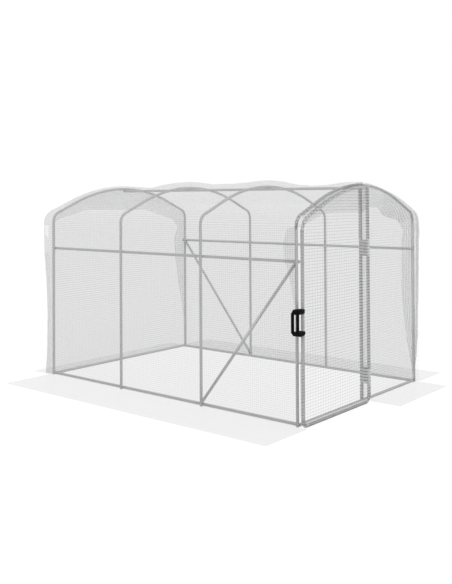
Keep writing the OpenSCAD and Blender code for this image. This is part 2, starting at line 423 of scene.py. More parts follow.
def film_material(name, mesh, thread_share, thread_alpha, plastic_alpha, upright=0.6, level=0.50):
    """Reinforced film: grey threads and nearly clear plastic, from one net mask."""
    made = bpy.data.materials.new(name)
    made.use_nodes = True
    tree, link = made.node_tree, made.node_tree.links.new
    shader = tree.nodes["Principled BSDF"]
    shader.inputs["Roughness"].default_value = FILM_ROUGHNESS
    uv = shader_node(tree, "UVMap")
    uv.uv_map = "weave"
    net = shader_node(tree, "Group", NET, Mesh_Width=mesh[0], Mesh_Height=mesh[1],
                      Thread_Share=thread_share, Upright_Thread=upright)
    link(uv.outputs["UV"], net.inputs["UV"])
    colour = shader_node(tree, "Mix")
    colour.data_type = "RGBA"
    colour.inputs["A"].default_value = plastic_grey(level)
    colour.inputs["B"].default_value = THREAD_COLOUR
    link(net.outputs["Thread"], colour.inputs["Factor"])
    link(colour.outputs["Result"], shader.inputs["Base Color"])
    veil = shader_node(tree, "MapRange", To_Min=plastic_alpha, To_Max=thread_alpha)
    link(net.outputs["Thread"], veil.inputs["Value"])
    link(veil.outputs["Result"], shader.inputs["Alpha"])
    return made


print("thread colour", THREAD_COLOUR[:3])

# %% Film materials
COVER_MESH = (0.0213, 0.0178)
SELVAGE_MESH = (0.0310, 0.0440)
DOOR_MESH = (0.0364, 0.0249)
NO_THREAD = 0.0

FILM = {name: film_material(name + "_film", *values) for name, values in {
    "cover": (COVER_MESH, 0.16, 0.30, 0.205, 0.75),
    "flap": (COVER_MESH, 0.16, 0.30, 0.18),
    "end": ((0.0230, 0.0230), 0.16, 0.29, 0.215, 0.95),
    "selvage": (SELVAGE_MESH, 0.40, 0.25, 0.15, 1.0),
    "far_selvage": (SELVAGE_MESH, 0.40, 0.13, 0.05, 1.0),
    "far_cuff": (SELVAGE_MESH, 0.40, 0.16, 0.10, 1.0),
    "back_selvage": ((0.0220, 0.0440), 0.40, 0.07, 0.045, 1.0),
    "door": (DOOR_MESH, 0.16, 0.33, 0.205, 0.68),
    "hem": (DOOR_MESH, 0.28, 0.46, 0.58, 0.1),
    "lock": (DOOR_MESH, 0.28, 0.22, 0.58, 0.1, 0.455),
    "sill": (DOOR_MESH, 0.28, 0.46, 0.58, 0.1, 0.43),
    "arch": (DOOR_MESH, 0.22, 0.50, 0.62, 0.6, 0.68),
    "post": ((0.0364, 0.0259), 0.30, 0.40, 0.66, 0.1, 0.82),
    "plain": (DOOR_MESH, NO_THREAD, 0.80, 0.80, 0.1, 0.95),
    # The last film is near-white, nearly opaque and has no threads: painted light for the line behind the
    # bottom rail
    "painted_light_line": (DOOR_MESH, NO_THREAD, 0.95, 0.95, 0.1, 0.92)}.items()}
print(len(FILM), "films, the cover's mesh", COVER_MESH, "and the door's", DOOR_MESH)

# %% [markdown]
# The main cover is one long sheet over both walls and the roof. Hoops lift it and it
# sinks towards the ridge tube between them, which gives the roof its wavy top edge. A
# cloth simulation wouldn't find this sag, so its crest runs through chosen heights.

# %% Height of the cover over the hoops
COVER_SEAT = 0.003
LOWEST_FILM = 0.003
# Height of the film's crest over the hoop's line, along the tunnel from front to back
CREST = [
    (-1.50, 0.014), (-1.42, 0.015), (-1.33, 0.004), (-1.25, -0.006), (-1.15, -0.008),
    (-0.98, -0.010), (-0.82, -0.001), (-0.73, 0.010), (-0.63, 0.029), (-0.54, 0.044),
    (-0.44, 0.041), (-0.35, 0.031), (-0.25, 0.027), (-0.13, 0.020), (0.06, 0.018),
    (0.16, 0.015), (0.27, 0.020), (0.38, 0.035), (0.49, 0.046), (0.60, 0.042),
    (0.72, 0.025), (0.83, 0.005), (0.95, -0.006), (1.07, -0.012), (1.20, -0.004),
    (1.32, 0.005), (1.45, 0.012), (1.50, 0.014)]
# Local lifts of the film: (run along the hoop, y, width along each, height)
SWELLS = [(2.00, 1.50, 0.45, 0.35, 0.010), (AT_APEX + 0.35, -1.50, 0.25, 0.30, -0.016)]
WALL_SAG = 0.006
WALL_SAG_TOP = 1.5
# How sag and ripple grow with the gap to the next hoop
SAG_BY_GAP = [(0.0, 0.0), (0.5, 1.0)]
RIPPLE_BY_GAP = [(0.0, 0.0), (0.15, 1.0)]
COVER_RIPPLE = dict(scale=0.35, height=0.004, seed=1.0)


def roofness(run):
    """0 at the foot of a wall, growing to 1 at the crown."""
    run = min(run, GIRTH - run)
    return eased([(0.0, 0.0), (1.2, 0.06), (AT_EAVE, 0.22), (AT_CROWN, 0.75), (AT_APEX, 1.0)], run)


def cover_point(run, y):
    """Place of the cover and its outward direction, by length round the hoop and y."""
    (x, z), (nx, nz) = hoop_line(run)
    lift = TUBE_R + COVER_SEAT + flowing(CREST, y) * roofness(run)
    for mid_run, mid_y, run_width, y_width, height in SWELLS:
        lift += height * math.exp(-((run - mid_run) / run_width) ** 2 - ((y - mid_y) / y_width) ** 2)
    gap = min(abs(y - hoop) for hoop in HOOP_Y)
    slack = (1 - roofness(run)) * eased(SAG_BY_GAP, gap)
    up_wall = min(run, GIRTH - run, WALL_SAG_TOP) / WALL_SAG_TOP
    lift -= WALL_SAG * slack * math.sin(math.pi * up_wall)
    lift += ripple(run, y, **COVER_RIPPLE) * eased(RIPPLE_BY_GAP, gap)
    return Vector((x + nx * lift, y, max(z + nz * lift, LOWEST_FILM))), Vector((nx, 0, nz))


print("crest between the hoops", [round(cover_point(AT_APEX, y)[0].z, 3) for y in (-1, 0, 1)])

# %% [markdown]
# Past the end hoops the film runs on by a hand's width, turns in and lies on the end
# sheets as a darker band, wide at the eaves and narrow at the feet. Lists along the
# hoop say where its edge lies and how far it runs on.

# %% Where the turned edges lie
FAR = GIRTH
PANEL_GAP = 0.021
EDGE_LOWEST = 0.004
# Where the turned-in edge ends on the end sheets: (run along the hoop, x, z)
BACK_EDGE = [
    (0.0, -0.965, 0.0), (1.2, -0.96, 1.2), (AT_EAVE, -0.956, 1.548),
    (AT_SLOPE, -0.89, 1.58), (AT_SLOPE + 0.1, -0.8, 1.606),
    (AT_SLOPE + 0.18, -0.69, 1.622), (AT_CROWN, -0.56, 1.662),
    (AT_CROWN + 0.2, -0.4, 1.664), (AT_APEX + 0.35, 0.33, 1.656),
    (FAR - AT_CROWN, 0.56, 1.595), (FAR - AT_SLOPE, 0.79, 1.535),
    (FAR - AT_EAVE, 0.88, 1.43), (FAR - 1.28, 0.84, 1.28), (FAR - 1.04, 0.858, 1.04),
    (FAR - 0.67, 0.915, 0.67), (FAR - 0.43, 0.965, 0.43), (FAR - 0.31, 0.98, 0.31),
    (FAR, 0.985, 0.0)]
FRONT_EDGE = [
    (0.0, -0.99, 0.0), (1.3, -0.99, 1.3), (AT_EAVE, -0.96, 1.545),
    (AT_SLOPE, -0.88, 1.575), (AT_CROWN, -0.62, 1.65), (AT_CROWN + 0.2, -0.45, 1.656),
    (AT_APEX, 0.0, 1.652), (AT_APEX + 0.14, 0.13, 1.693), (AT_APEX + 0.28, 0.255, 1.693),
    (AT_APEX + 0.4, 0.362, 1.615), (AT_APEX + 0.54, 0.49, 1.589),
    (FAR - AT_CROWN, 0.6, 1.575), (FAR - AT_SLOPE, 0.695, 1.53),
    (FAR - AT_EAVE, 0.75, 1.455), (FAR - 1.4, 0.722, 1.385), (FAR - 1.19, 0.716, 1.19),
    (FAR - 0.91, 0.71, 0.91), (FAR - 0.72, 0.735, 0.72), (FAR - 0.43, 0.805, 0.43),
    (FAR - 0.16, 0.9, 0.16), (FAR, 0.955, 0.0)]
# How far the film runs on before it turns: (run along the hoop, reach)
BACK_BULGE = [
    (0.0, 0.134), (0.09, 0.127), (0.22, 0.111), (0.55, 0.102), (0.76, 0.108), (0.95, 0.124),
    (1.16, 0.148), (1.32, 0.158), (1.5, 0.158), (AT_SLOPE, 0.155), (AT_CROWN - 0.2, 0.14),
    (AT_CROWN + 0.2, 0.105), (AT_APEX, 0.09), (FAR - AT_CROWN, 0.085),
    (FAR - AT_SLOPE, 0.07), (FAR - 1.5, 0.07), (FAR - 1.4, 0.105), (FAR - 1.28, 0.125),
    (FAR - 1.0, 0.1), (FAR - 0.67, 0.062), (FAR - 0.43, 0.022), (FAR - 0.25, 0.012),
    (FAR, 0.012)]
FRONT_BULGE = [
    (0.0, 0.012), (1.4, 0.012), (AT_EAVE + 0.1, 0.022), (AT_SLOPE, 0.046),
    (AT_APEX + 0.3, 0.046), (FAR - AT_CROWN, 0.07), (FAR - AT_SLOPE, 0.092),
    (FAR - 1.46, 0.102), (FAR - 1.3, 0.098), (FAR - 1.0, 0.092), (FAR - 0.7, 0.08),
    (FAR - 0.42, 0.06), (FAR - 0.28, 0.04), (FAR - 0.17, 0.02), (FAR - 0.08, 0.012),
    (FAR, 0.012)]
for side, bulge in (("back", BACK_BULGE), ("front", FRONT_BULGE)):
    print(side, "film runs on by up to", max(reach for _, reach in bulge), "m")

# %% [markdown]
# Three places differ: the near wall's front edge is folded back outside the wall, over
# the door the film goes on as a doubled lip, and the near back corner is left open.
# Separate pieces would show seams, so the same rows of points are led another way. The
# path past a hoop is a Bezier curve, which needs no radius for each row.

# %% Fold, lip and slit
RETURN_STEPS = 10
# Width of the fold, by height
FOLD = [
    (0.90, 0.0), (1.10, 0.035), (1.21, 0.071), (1.31, 0.098), (1.42, 0.105), (1.52, 0.080), (1.58, 0.0)]
FOLD_SEAT = 0.012
FOLD_REACH = 0.014
FOLD_ROUND = 1.5
# Reach of the lip over the door: (run, reach)
LIP = [
    (AT_EAVE + 0.03, 0.0), (AT_EAVE + 0.10, 0.045), (AT_SLOPE + 0.05, 0.084),
    (AT_APEX - 0.20, 0.084), (AT_APEX - 0.04, 0.050)]
LIP_LEAST = 0.04
LIP_FOLD = 0.004
LIP_BACK_Y = FRONT_Y - 0.038
# The slit under the near back eave: (height, outer border)
SLIT = [(1.33, 1.606), (1.36, 1.618), (1.44, 1.640), (1.51, 1.646)]
SLIT_FROM = 1.603
SLIT_X = (-0.994, -0.9)


def bezier(a, b, c, d, t):
    u = 1 - t
    return a * u ** 3 + b * (3 * u * u * t) + c * (3 * u * t * t) + d * t ** 3


def folded_back(start, out):
    """The near wall's front edge, folded back along the outside of the wall."""
    stop = start + Vector((-FOLD_SEAT, eased(FOLD, start.z), 0))
    turn = start + out * FOLD_REACH
    bend = turn + Vector((-FOLD_SEAT * FOLD_ROUND, 0, 0))
    return [bezier(start, turn, bend, stop, n / RETURN_STEPS) for n in range(1, RETURN_STEPS + 1)]


def lip_over_door(start, stop, out, normal, reach):
    """Out over the door's arch, back under itself, then down to where the edge lies."""
    tip = start + out * reach - normal * LIP_FOLD
    under = Vector((tip.x, LIP_BACK_Y, tip.z)) - normal * LIP_FOLD
    parts = [start.lerp(tip, n / 4) for n in (1, 2, 3, 4)]
    parts += [(tip - normal * LIP_FOLD).lerp(under, n / 3) for n in (0, 1.5, 3)]
    return parts + [under.lerp(stop, n / 3) for n in (1, 2, 3)]


def outside_slit(point):
    in_slit = SLIT[0][0] < point.z < SLIT[-1][0] and SLIT_FROM < point.y < eased(SLIT, point.z)
    return not (in_slit and SLIT_X[0] < point.x < SLIT_X[1])


print("fold up to", max(width for _, width in FOLD), "m, lip up to", max(reach for _, reach in LIP), "m")

# %% The turned edge
BULGE_OUT, BULGE_BACK = 1.18, 1.2
TURN_LIFT = 0.006
CREASE_H, CREASE_SIZE, CREASE_SEED = 0.012, 0.09, 3.0
SLIT_TRIES = 400


def turned_edge(run, way):
    """Points of the film past an end hoop, from the hoop to where its edge lies."""
    start, normal = cover_point(run, way * BACK_Y)
    out = Vector((0, way, 0))
    edge, bulge = (BACK_EDGE, BACK_BULGE) if way > 0 else (FRONT_EDGE, FRONT_BULGE)
    x = eased([(key[0], key[1]) for key in edge], run)
    z = eased([(key[0], key[2]) for key in edge], run)
    stop = Vector((x, way * (BACK_Y + PANEL_GAP), max(z, EDGE_LOWEST)))
    if way < 0 and run < AT_SLOPE and eased(FOLD, start.z) > 0:
        return folded_back(start, out)
    lip = eased(LIP, run) if way < 0 and LIP[0][0] < run < LIP[-1][0] else 0.0
    if lip > LIP_LEAST:
        return lip_over_door(start, stop, out, normal, lip)
    reach = flowing(bulge, run)
    crease = CREASE_H * noise.noise(Vector((run / CREASE_SIZE, way, CREASE_SEED)))
    first = start + out * (reach * BULGE_OUT) + normal * TURN_LIFT
    second = start.lerp(stop, 0.5) + out * (reach * BULGE_BACK + crease)
    second.y = second.y if way * second.y > BACK_Y + PANEL_GAP else stop.y
    steps = [n / RETURN_STEPS for n in range(1, RETURN_STEPS + 1)]
    if way > 0 and SLIT[0][0] < run < SLIT[-1][0]:
        tries = [n / SLIT_TRIES for n in range(SLIT_TRIES, 0, -1)]
        for border in (SLIT_FROM, eased(SLIT, run)):
            place = next(t for t in tries if bezier(start, first, second, stop, t).y > border)
            steps[min(range(len(steps)), key=lambda n: abs(steps[n] - place))] = place
    return [bezier(start, first, second, stop, t) for t in steps]


print("back edge at the far eave ends at", [round(c, 3) for c in turned_edge(FAR - AT_EAVE, 1)[-1]])

# %% [markdown]
# Each row runs along the tunnel, from the back's turned edge to the front's, and its UV
# is the length along it and the run. Where the front's edge is doubled its threads blur
# together, so there the UV is held between two threads.

# %% Cover sheet
ROW_STEP = 0.028
COLUMN_STEP = 0.030
PLAIN_PLACE = COVER_MESH[0] * round((BACK_Y - FRONT_Y) / COVER_MESH[0])

runs = spaced([0.0, AT_EAVE, AT_SLOPE, AT_CROWN, AT_APEX], ROW_STEP)
runs = runs + [GIRTH - run for run in reversed(runs[:-1])]
columns = spaced([BACK_Y, HOOP_Y[1], HOOP_Y[2], FRONT_Y], COLUMN_STEP)
cover_rows, cover_uvs = [], []
for run in runs:
    back = list(reversed(turned_edge(run, 1)))
    front = turned_edge(run, -1)
    row = back + [cover_point(run, y)[0] for y in columns] + front
    lengths = lengths_along(row)
    uv_row = [(length - lengths[len(back)], run) for length in lengths]
    if run > AT_EAVE:
        plain = run < GIRTH - AT_SLOPE
        uv_row[-len(front):] = [(PLAIN_PLACE if plain else u, 0.0) for u, _ in uv_row[-len(front):]]
    cover_rows.append(row)
    cover_uvs.append(uv_row)
cover = sheet_object("cover_sheet", cover_rows, cover_uvs, outside_slit)
declare_film(cover, FILM["cover"], "tunnel",
             ["cover_near_side", "cover_roof", "cover_far_side"])

# %% [markdown]
# A turned edge is hemmed, so it shows as a darker band. A painted mask could darken the
# cover, but a second sheet inside the first does it by itself. Its threads slant
# inwards, as in a flat hem bent round an arch.

# %% Doubled edges of the cover
HEM_IN = 0.95
CUFF_IN = 0.90
CUFF_FROM_X = 0.87
HEM_CLEAR = 0.004
NEAR_HEM_FROM = AT_EAVE + 0.06
BACK_HEM_TO = 1.25
PLAIN_TO = AT_APEX + 0.34
THREAD_SKEW = 0.40


def front_thread(length, run):
    """Place across the threads of the front's hem: none at first, then slanting inwards."""
    if run < PLAIN_TO:
        return PLAIN_PLACE
    return length - THREAD_SKEW * (min(run, GIRTH - AT_SLOPE) - PLAIN_TO)


def doubled_edge(name, first, last, way, material, inset=HEM_IN, from_x=-math.inf):
    """A second layer just inside the turned edge, clear of the end hoop."""
    hem_rows, hem_uvs = [], []
    for run in (run for run in runs if first <= run <= last):
        edge = turned_edge(run, way)
        middle = (edge[0] + edge[-1]) / 2
        row = [middle + (point - middle) * inset for point in edge]
        lengths = lengths_along(row)
        hem_rows.append(row)
        hem_uvs.append([(front_thread(length, run) if way < 0 else length, 0.0) for length in lengths])
    made = sheet_object(
        name, hem_rows, hem_uvs,
        lambda point: abs(point.y) > BACK_Y + TUBE_R + HEM_CLEAR and point.x > from_x)
    declare_film(made, material, "tunnel")


doubled_edge("front_selvage", NEAR_HEM_FROM, GIRTH - AT_SLOPE, -1, FILM["selvage"])
doubled_edge("far_selvage", GIRTH - AT_SLOPE, GIRTH, -1, FILM["far_selvage"])
doubled_edge("far_cuff", GIRTH - AT_SLOPE, GIRTH, -1, FILM["far_cuff"],
             CUFF_IN, CUFF_FROM_X)
doubled_edge("back_selvage", 0.0, BACK_HEM_TO, 1, FILM["back_selvage"])

# %% [markdown]
# At the far front foot the wall's film is left loose and stands a little past the post.
# A few columns of points beside the post are enough for so narrow a strip.

# %% Loose tail at the far front foot
# How far the tail stands out from the post's middle: (height, reach)
TAIL = [(0.0, 0.046), (0.30, 0.048), (0.50, 0.060)]
TAIL_COLUMNS = 4
WALL_X = POST_X + TUBE_R + COVER_SEAT


def tail_point(share, z):
    return Vector((WALL_X, FRONT_Y - TUBE_R - (eased(TAIL, z) - TUBE_R) * share, z))


tail = grid_sheet(
    "far_tail", [n / TAIL_COLUMNS for n in range(TAIL_COLUMNS + 1)],
    spaced([EDGE_LOWEST, TAIL[-1][0]], ROW_STEP), tail_point,
    lambda point: (FRONT_Y - TUBE_R - point.y, point.z))
declare_film(tail, FILM["back_selvage"], "tunnel")

# %% [markdown]
# The end sheets close the tunnel: a whole one at the back, a half one beside the door.
# A flat plane would look like glass, so they belly out a little from the end hoops.

# %% End sheets
END_SEAT = 0.004
END_STEP = 0.030
END_ROWS = 50
END_TOP = TUBE_R * 0.8
EDGE_X = POST_X + TUBE_R * 0.6
BACK_BELLY = 0.018
FRONT_BELLY = 0.006
BELLY_RISE = 1.1
END_RIPPLE = dict(scale=0.30, height=0.004)
END_SEED = 5.0


def end_sheet(name, way, left_x, right_x, belly):
    """A flat film up to the hoop's outer line, bellied out between its edges."""
    def place(x, share):
        across = math.sin(math.pi * (x - left_x) / (right_x - left_x))
        z = LOWEST_FILM + (roof_height(x) + END_TOP - LOWEST_FILM) * share
        out = belly * across * math.sin(math.pi * min(share * BELLY_RISE, 1.0))
        out += ripple(x, z, seed=END_SEED + way, **END_RIPPLE) * across
        return Vector((x, way * (BACK_Y + TUBE_R + END_SEAT + max(out, 0)), z))

    shares = [n / END_ROWS for n in range(END_ROWS + 1)]
    return grid_sheet(name, spaced([left_x, right_x], END_STEP), shares, place, face_on)


for name, way, left_x, belly, bow, node in (
        ("back_sheet", 1, -EDGE_X, BACK_BELLY, "hoop_1_near_bow", "cover_back_end"),
        ("front_sheet", -1, -TUBE_R, FRONT_BELLY, "hoop_4_far_bow", "cover_front_panel")):
    declare_film(end_sheet(name, way, left_x, EDGE_X, belly), FILM["end"], "tunnel",
                 [node])

# %% [markdown]
# The flaps are where the walls' film runs out over the ground, to be weighed down or
# dug in. One face would look like card, so each is a grid with a slight swell.

# %% Ground flaps
FLAP_STEP = 0.05
FLAP_Z = 0.0015
FLAP_SWELL = 0.0015
SWELLS_PER_M = 3
FLAP_SEED = 9.0
END_PLANE = BACK_Y + TUBE_R + END_SEAT
# Each flap's extent: x from and to, y from and to
FLAPS = {
    "near_flap": (-1.536, -WALL_X, -1.600, 1.530), "far_flap": (WALL_X, 1.492, -1.545, 1.580),
    "back_flap": (-1.020, 1.020, END_PLANE, 1.785), "front_flap": (0.055, 0.995, -1.838, -END_PLANE)}


def flap_point(x, y):
    swell = noise.noise(Vector((x * SWELLS_PER_M, y * SWELLS_PER_M, FLAP_SEED)))
    return Vector((x, y, FLAP_Z + FLAP_SWELL * (1 + swell)))


for node, (x0, x1, y0, y1) in FLAPS.items():
    flap = grid_sheet(node + "_sheet", spaced([x0, x1], FLAP_STEP), spaced([y0, y1], FLAP_STEP),
                      flap_point, lambda point: (point.y, point.x))
    declare_film(flap, FILM["flap"], "tunnel", [node])

# %% [markdown]
# The door's film and rolled edges follow its bent tube. The line could be traced from
# the CAD mesh, but the arch is the hoop's own line, moved out and down.

# %% The door's outline
door_low, door_high = (Vector(corner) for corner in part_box("door_stiles"))
DOOR_Y = (door_low.y + door_high.y) / 2
LOCK_X = door_low.x + TUBE_R
HINGE_X = door_high.x - TUBE_R
FOOT_Z = door_low.z + TUBE_R
DOOR_CORNER_R = 0.065
CORNER_STEPS = 8
DOOR_OUT = -POST_X - LOCK_X
DOOR_DROP = APEX_Z + DOOR_OUT + TUBE_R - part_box("door_arch")[1][2]
OUTLINE_STEP = 0.0125
# Turns of the outline's direction at the square upper corner, in radians
HEAD_TURNS = (0.4, 0.8, 1.2)


def corner_arc(centre_x, centre_z, first, last):
    """Places and outward normals round a corner, between two angles in degrees."""
    turns = [math.radians(first + (last - first) * n / CORNER_STEPS) for n in range(CORNER_STEPS + 1)]
    return [(centre_x + DOOR_CORNER_R * math.cos(a), centre_z + DOOR_CORNER_R * math.sin(a),
             math.cos(a), math.sin(a)) for a in turns]


def door_outline():
    """The door frame's centre line as (x, z, nx, nz), from the lock stile's foot and round."""
    low, top = FOOT_Z + DOOR_CORNER_R, EAVE_Z - DOOR_DROP
    left, right = LOCK_X + DOOR_CORNER_R, HINGE_X - DOOR_CORNER_R
    line = [(LOCK_X, z, -1.0, 0.0) for z in spaced([low, top], OUTLINE_STEP)]
    for run in spaced([AT_EAVE, AT_SLOPE, AT_CROWN, AT_APEX], OUTLINE_STEP)[1:]:
        (x, z), (nx, nz) = hoop_line(run)
        line.append((x + nx * DOOR_OUT, z + nz * DOOR_OUT - DOOR_DROP, nx, nz))
    head = line[-1][1]
    line += [(HINGE_X, head, math.sin(a), math.cos(a)) for a in HEAD_TURNS]
    line += [(HINGE_X, z, 1.0, 0.0) for z in spaced([head, low], OUTLINE_STEP)]
    line += corner_arc(right, low, 0, -90)[1:]
    line += [(x, FOOT_Z, 0.0, -1.0) for x in spaced([right, left], OUTLINE_STEP)[1:]]
    line += corner_arc(left, low, -90, -180)[1:]
    return line


DOOR_LINE = door_outline()
DOOR_HEAD = max(place[1] for place in DOOR_LINE)
print("door outline", len(DOOR_LINE), "places, drop", round(DOOR_DROP, 4), "out", round(DOOR_OUT, 4))

# %% [markdown]
# The film is cut away where a hinge or the handle's arms grip the stile. A boolean would
# leave ragged faces in a thin sheet, so the sheets leave out the faces in four boxes.

# %% Cut-outs at the hinges and the handle
HINGES = ("hinge_lower", "hinge_upper")
NOTCH_ROOM = 0.007
HINGE_CUT = 0.0245
ARM_H = 0.034

handle_low, handle_high = (Vector(corner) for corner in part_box("door_handle"))
hinge_spans = [(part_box(hinge)[0][2] - NOTCH_ROOM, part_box(hinge)[1][2] + NOTCH_ROOM) for hinge in HINGES]
arm_lows = (handle_low.z, handle_high.z - ARM_H)
arm_spans = [(low - NOTCH_ROOM, low + ARM_H + NOTCH_ROOM) for low in arm_lows]
door_notches = [(HINGE_X - HINGE_CUT, math.inf, *span) for span in hinge_spans]
door_notches += [(-math.inf, LOCK_X + NOTCH_ROOM, *span) for span in arm_spans]


def outside_notches(point):
    return not any(left < point.x < right and low < point.z < high
                   for left, right, low, high in door_notches)


print(len(door_notches), "cut-outs in the door's film")

# %% [markdown]
# The door's film is stretched over the outside of its tubes. It is closest to the eye,
# so its net shows best. A flat grid is clipped to the outline, with a slight belly.

# %% Door film
DOOR_SEAT = 0.0007
DOOR_BELLY = 0.004
WRAP_R = TUBE_R + DOOR_SEAT
HANDLE_STRIP = 0.12
DOOR_COLUMN, DOOR_ROW = 0.020, 0.024
ROOF_SIDE = 0.02


def outline_height(x, upper):
    """Height of the door's centre line over a place, on its upper or its lower side."""
    side = sorted((px, pz) for px, pz, _, nz in DOOR_LINE if nz != 0.0 and (nz > ROOF_SIDE) == upper)
    return float(np.interp(x, [place[0] for place in side], [place[1] for place in side]))


def door_point(x, height):
    z = min(max(height, outline_height(x, False)), outline_height(x, True))
    across = math.sin(math.pi * (x - LOCK_X) / (HINGE_X - LOCK_X))
    belly = DOOR_BELLY * across * math.sin(math.pi * min(z / DOOR_HEAD, 1))
    return Vector((x, DOOR_Y - WRAP_R - belly, z))


door_xs = spaced(
    [LOCK_X, LOCK_X + NOTCH_ROOM, LOCK_X + HANDLE_STRIP, HINGE_X - HINGE_CUT, HINGE_X], DOOR_COLUMN)
notch_heights = sorted(height for notch in door_notches for height in notch[2:])
door_zs = spaced(
    [FOOT_Z, FOOT_Z + DOOR_CORNER_R] + notch_heights + [EAVE_Z - DOOR_DROP, DOOR_HEAD], DOOR_ROW)
door_sheet = grid_sheet("door_sheet", door_xs, door_zs, door_point, face_on, outside_notches)
declare_film(door_sheet, FILM["door"], "door",
             ["door_film"])

# %% [markdown]
# At a tube the film's edge is rolled round it, and its threads show as dark ticks. A
# striped tube would show no loose film, so each edge is a sheet from the tube's front
# over its outer side, with some slack, to its back. Round the door it is cut into four,
# because each shows its threads differently.

# %% Film rolled round a tube
WRAP_END = math.radians(205)
WRAP_STEPS = 12
HEM_LOWEST = 0.0028
# On the hinge stile the rolled edge comes round and lies back over the flat film
HINGE_BAND = 0.044
BAND_SHARES = (1.0, 0.66, 0.33)
BAND_SEAT = 0.0014


def rolled_row(x, z, nx, nz, y, loose):
    """One row of a rolled edge: its points and its UV places."""
    row, uv = [], []
    for share in BAND_SHARES:
        back = share * HINGE_BAND * max(nx, 0) ** 2
        row.append(Vector((x - nx * back, y - WRAP_R - BAND_SEAT * share, z - nz * back)))
        uv.append((x - nx * back, z - nz * back))
    for n in range(WRAP_STEPS + 1):
        turn = WRAP_END * n / WRAP_STEPS
        out = WRAP_R * math.sin(turn) + loose * max(math.sin(turn), 0) ** 0.5
        row.append(Vector((x + nx * out, y - WRAP_R * math.cos(turn), max(z + nz * out, HEM_LOWEST))))
        around = WRAP_R * turn + loose * (1 - math.cos(min(turn, math.pi)))
        uv.append((x + nx * around, z + nz * around))
    return row, uv


def rolled_edge(name, body, line, y, slack, material, keep=None):
    """Film rolled round a tube: from its front over its outer side to its back."""
    rows, uvs = zip(*(rolled_row(*place, y, slack(*place)) for place in line))
    made = sheet_object(name, rows, uvs, keep)
    length = sum(math.dist(a[:2], b[:2]) for a, b in zip(line, line[1:]))
    declare_film(made, material, body)


print("a tight edge is", round(WRAP_R * WRAP_END, 3), "m wide")

# %% Rolled edges of the door
# Slack of the rolled edge outside the lock stile, by height
LOCK_SLACK = [(0.02, 0.004), (0.10, 0.020), (0.45, 0.020), (0.62, 0.006), (1.30, 0.004), (1.50, 0.006)]
CORNER_SLACK = 0.012
HINGE_SLACK = 0.007
ARCH_SLACK = 0.004
UPRIGHT, LEANING = 0.99, 0.3


def edge_slack(x, z, nx, nz):
    """How loose the door's rolled edge is, by its place and the side it faces."""
    if nx < -UPRIGHT:
        return eased(LOCK_SLACK, z)
    if nz < 0 and nx < 0:
        return CORNER_SLACK * 4 * nx * nx * nz * nz + eased(LOCK_SLACK, z) * nx * nx
    return ARCH_SLACK if nz > LEANING and nx < LEANING else max(nx, 0) * HINGE_SLACK


arch_places = [n for n, place in enumerate(DOOR_LINE) if place[3] > 0]
arch_first, arch_last = arch_places[0], arch_places[-1]
sill_first = next(n for n, place in enumerate(DOOR_LINE) if place[3] < 0)
for name, line, film, keep in (
        ("lock_hem", DOOR_LINE[:arch_first + 1], "lock", outside_notches),
        ("door_hem", DOOR_LINE[arch_last:sill_first], "hem", outside_notches),
        ("sill_hem", DOOR_LINE[sill_first - 1:] + DOOR_LINE[:1], "sill", None)):
    rolled_edge(name, "door", line, DOOR_Y, edge_slack, FILM[film], keep)
arch_line = DOOR_LINE[arch_first - 1:arch_last + 1]
rolled_edge("arch_hem", "door", arch_line, DOOR_Y, edge_slack, FILM["arch"])

# %% [markdown]
# Along the bottom rail the hem also covers the top. Behind the rail stands a pale,
# nearly opaque strip of painted light, which paints the thin light line between the
# door's bottom rail and the base rail. Only its front shows, so an upright strip is enough.

# %% Cap and painted light line of the bottom rail
PAINTED_LINE_H = 0.0115
RAIL_TOP_COLUMN, PAINTED_LINE_ROW = 0.05, 0.005


def no_slack(*place):
    return 0.0


rail_top_xs = spaced([LOCK_X + DOOR_CORNER_R * 0.6, HINGE_X - DOOR_CORNER_R * 0.4], RAIL_TOP_COLUMN)
painted_line_zs = spaced([FOOT_Z + TUBE_R * 0.9, FOOT_Z + WRAP_R + PAINTED_LINE_H], PAINTED_LINE_ROW)
# A pale upright strip of painted light, standing for the light line behind the rail
painted_light_line = grid_sheet("sill_painted_light_line", rail_top_xs, painted_line_zs, lambda x, z: Vector((x, DOOR_Y, z)), face_on)
declare_film(painted_light_line, FILM["painted_light_line"], "door")
rolled_edge("sill_cap", "door", [(x, FOOT_Z, 0.0, 1.0) for x in rail_top_xs], DOOR_Y,
            no_slack, FILM["sill"])

# %% [markdown]
# The front end's posts carry film too, so the same function rolls it: loose on the
# centre post and plain on the far post.

# %% Film round the front end's posts
POST_SLACK = 0.015
FAR_SLACK = 0.004
FAR_HEM_FROM = 0.03

post_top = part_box("centre_post")[1][2]
post_line = [(0.0, z, -1.0, 0.0) for z in spaced([EDGE_LOWEST, post_top], OUTLINE_STEP)]
rolled_edge("post_hem", "tunnel", post_line, FRONT_Y, lambda *place: POST_SLACK,
            FILM["post"], lambda point: not any(low < point.z < high for low, high in hinge_spans))
waist_low, waist_high = (corner[2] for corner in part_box("far_waist_rail"))
far_line = [(POST_X, z, -1.0, 0.0) for z in spaced([FAR_HEM_FROM, EAVE_Z], OUTLINE_STEP)]
rolled_edge("far_post_hem", "tunnel", far_line, FRONT_Y, lambda *place: FAR_SLACK,
            FILM["plain"], lambda point: not waist_low - NOTCH_ROOM < point.z < waist_high + NOTCH_ROOM)

# %% [markdown]
# Each hinge bracket wears a sleeve of film, which stays with it when the door opens.
# Shrinking a copy of the bracket would cover its back too, so an outline seen from
# above is drawn up over its height.

# %% Sleeves over the hinges
SLEEVE_SEAT = 0.0012
SLEEVE_BACK = 0.010
SLEEVE_END = 0.002
SLEEVE_TURNS = [math.pi * n / 14 for n in range(11)]

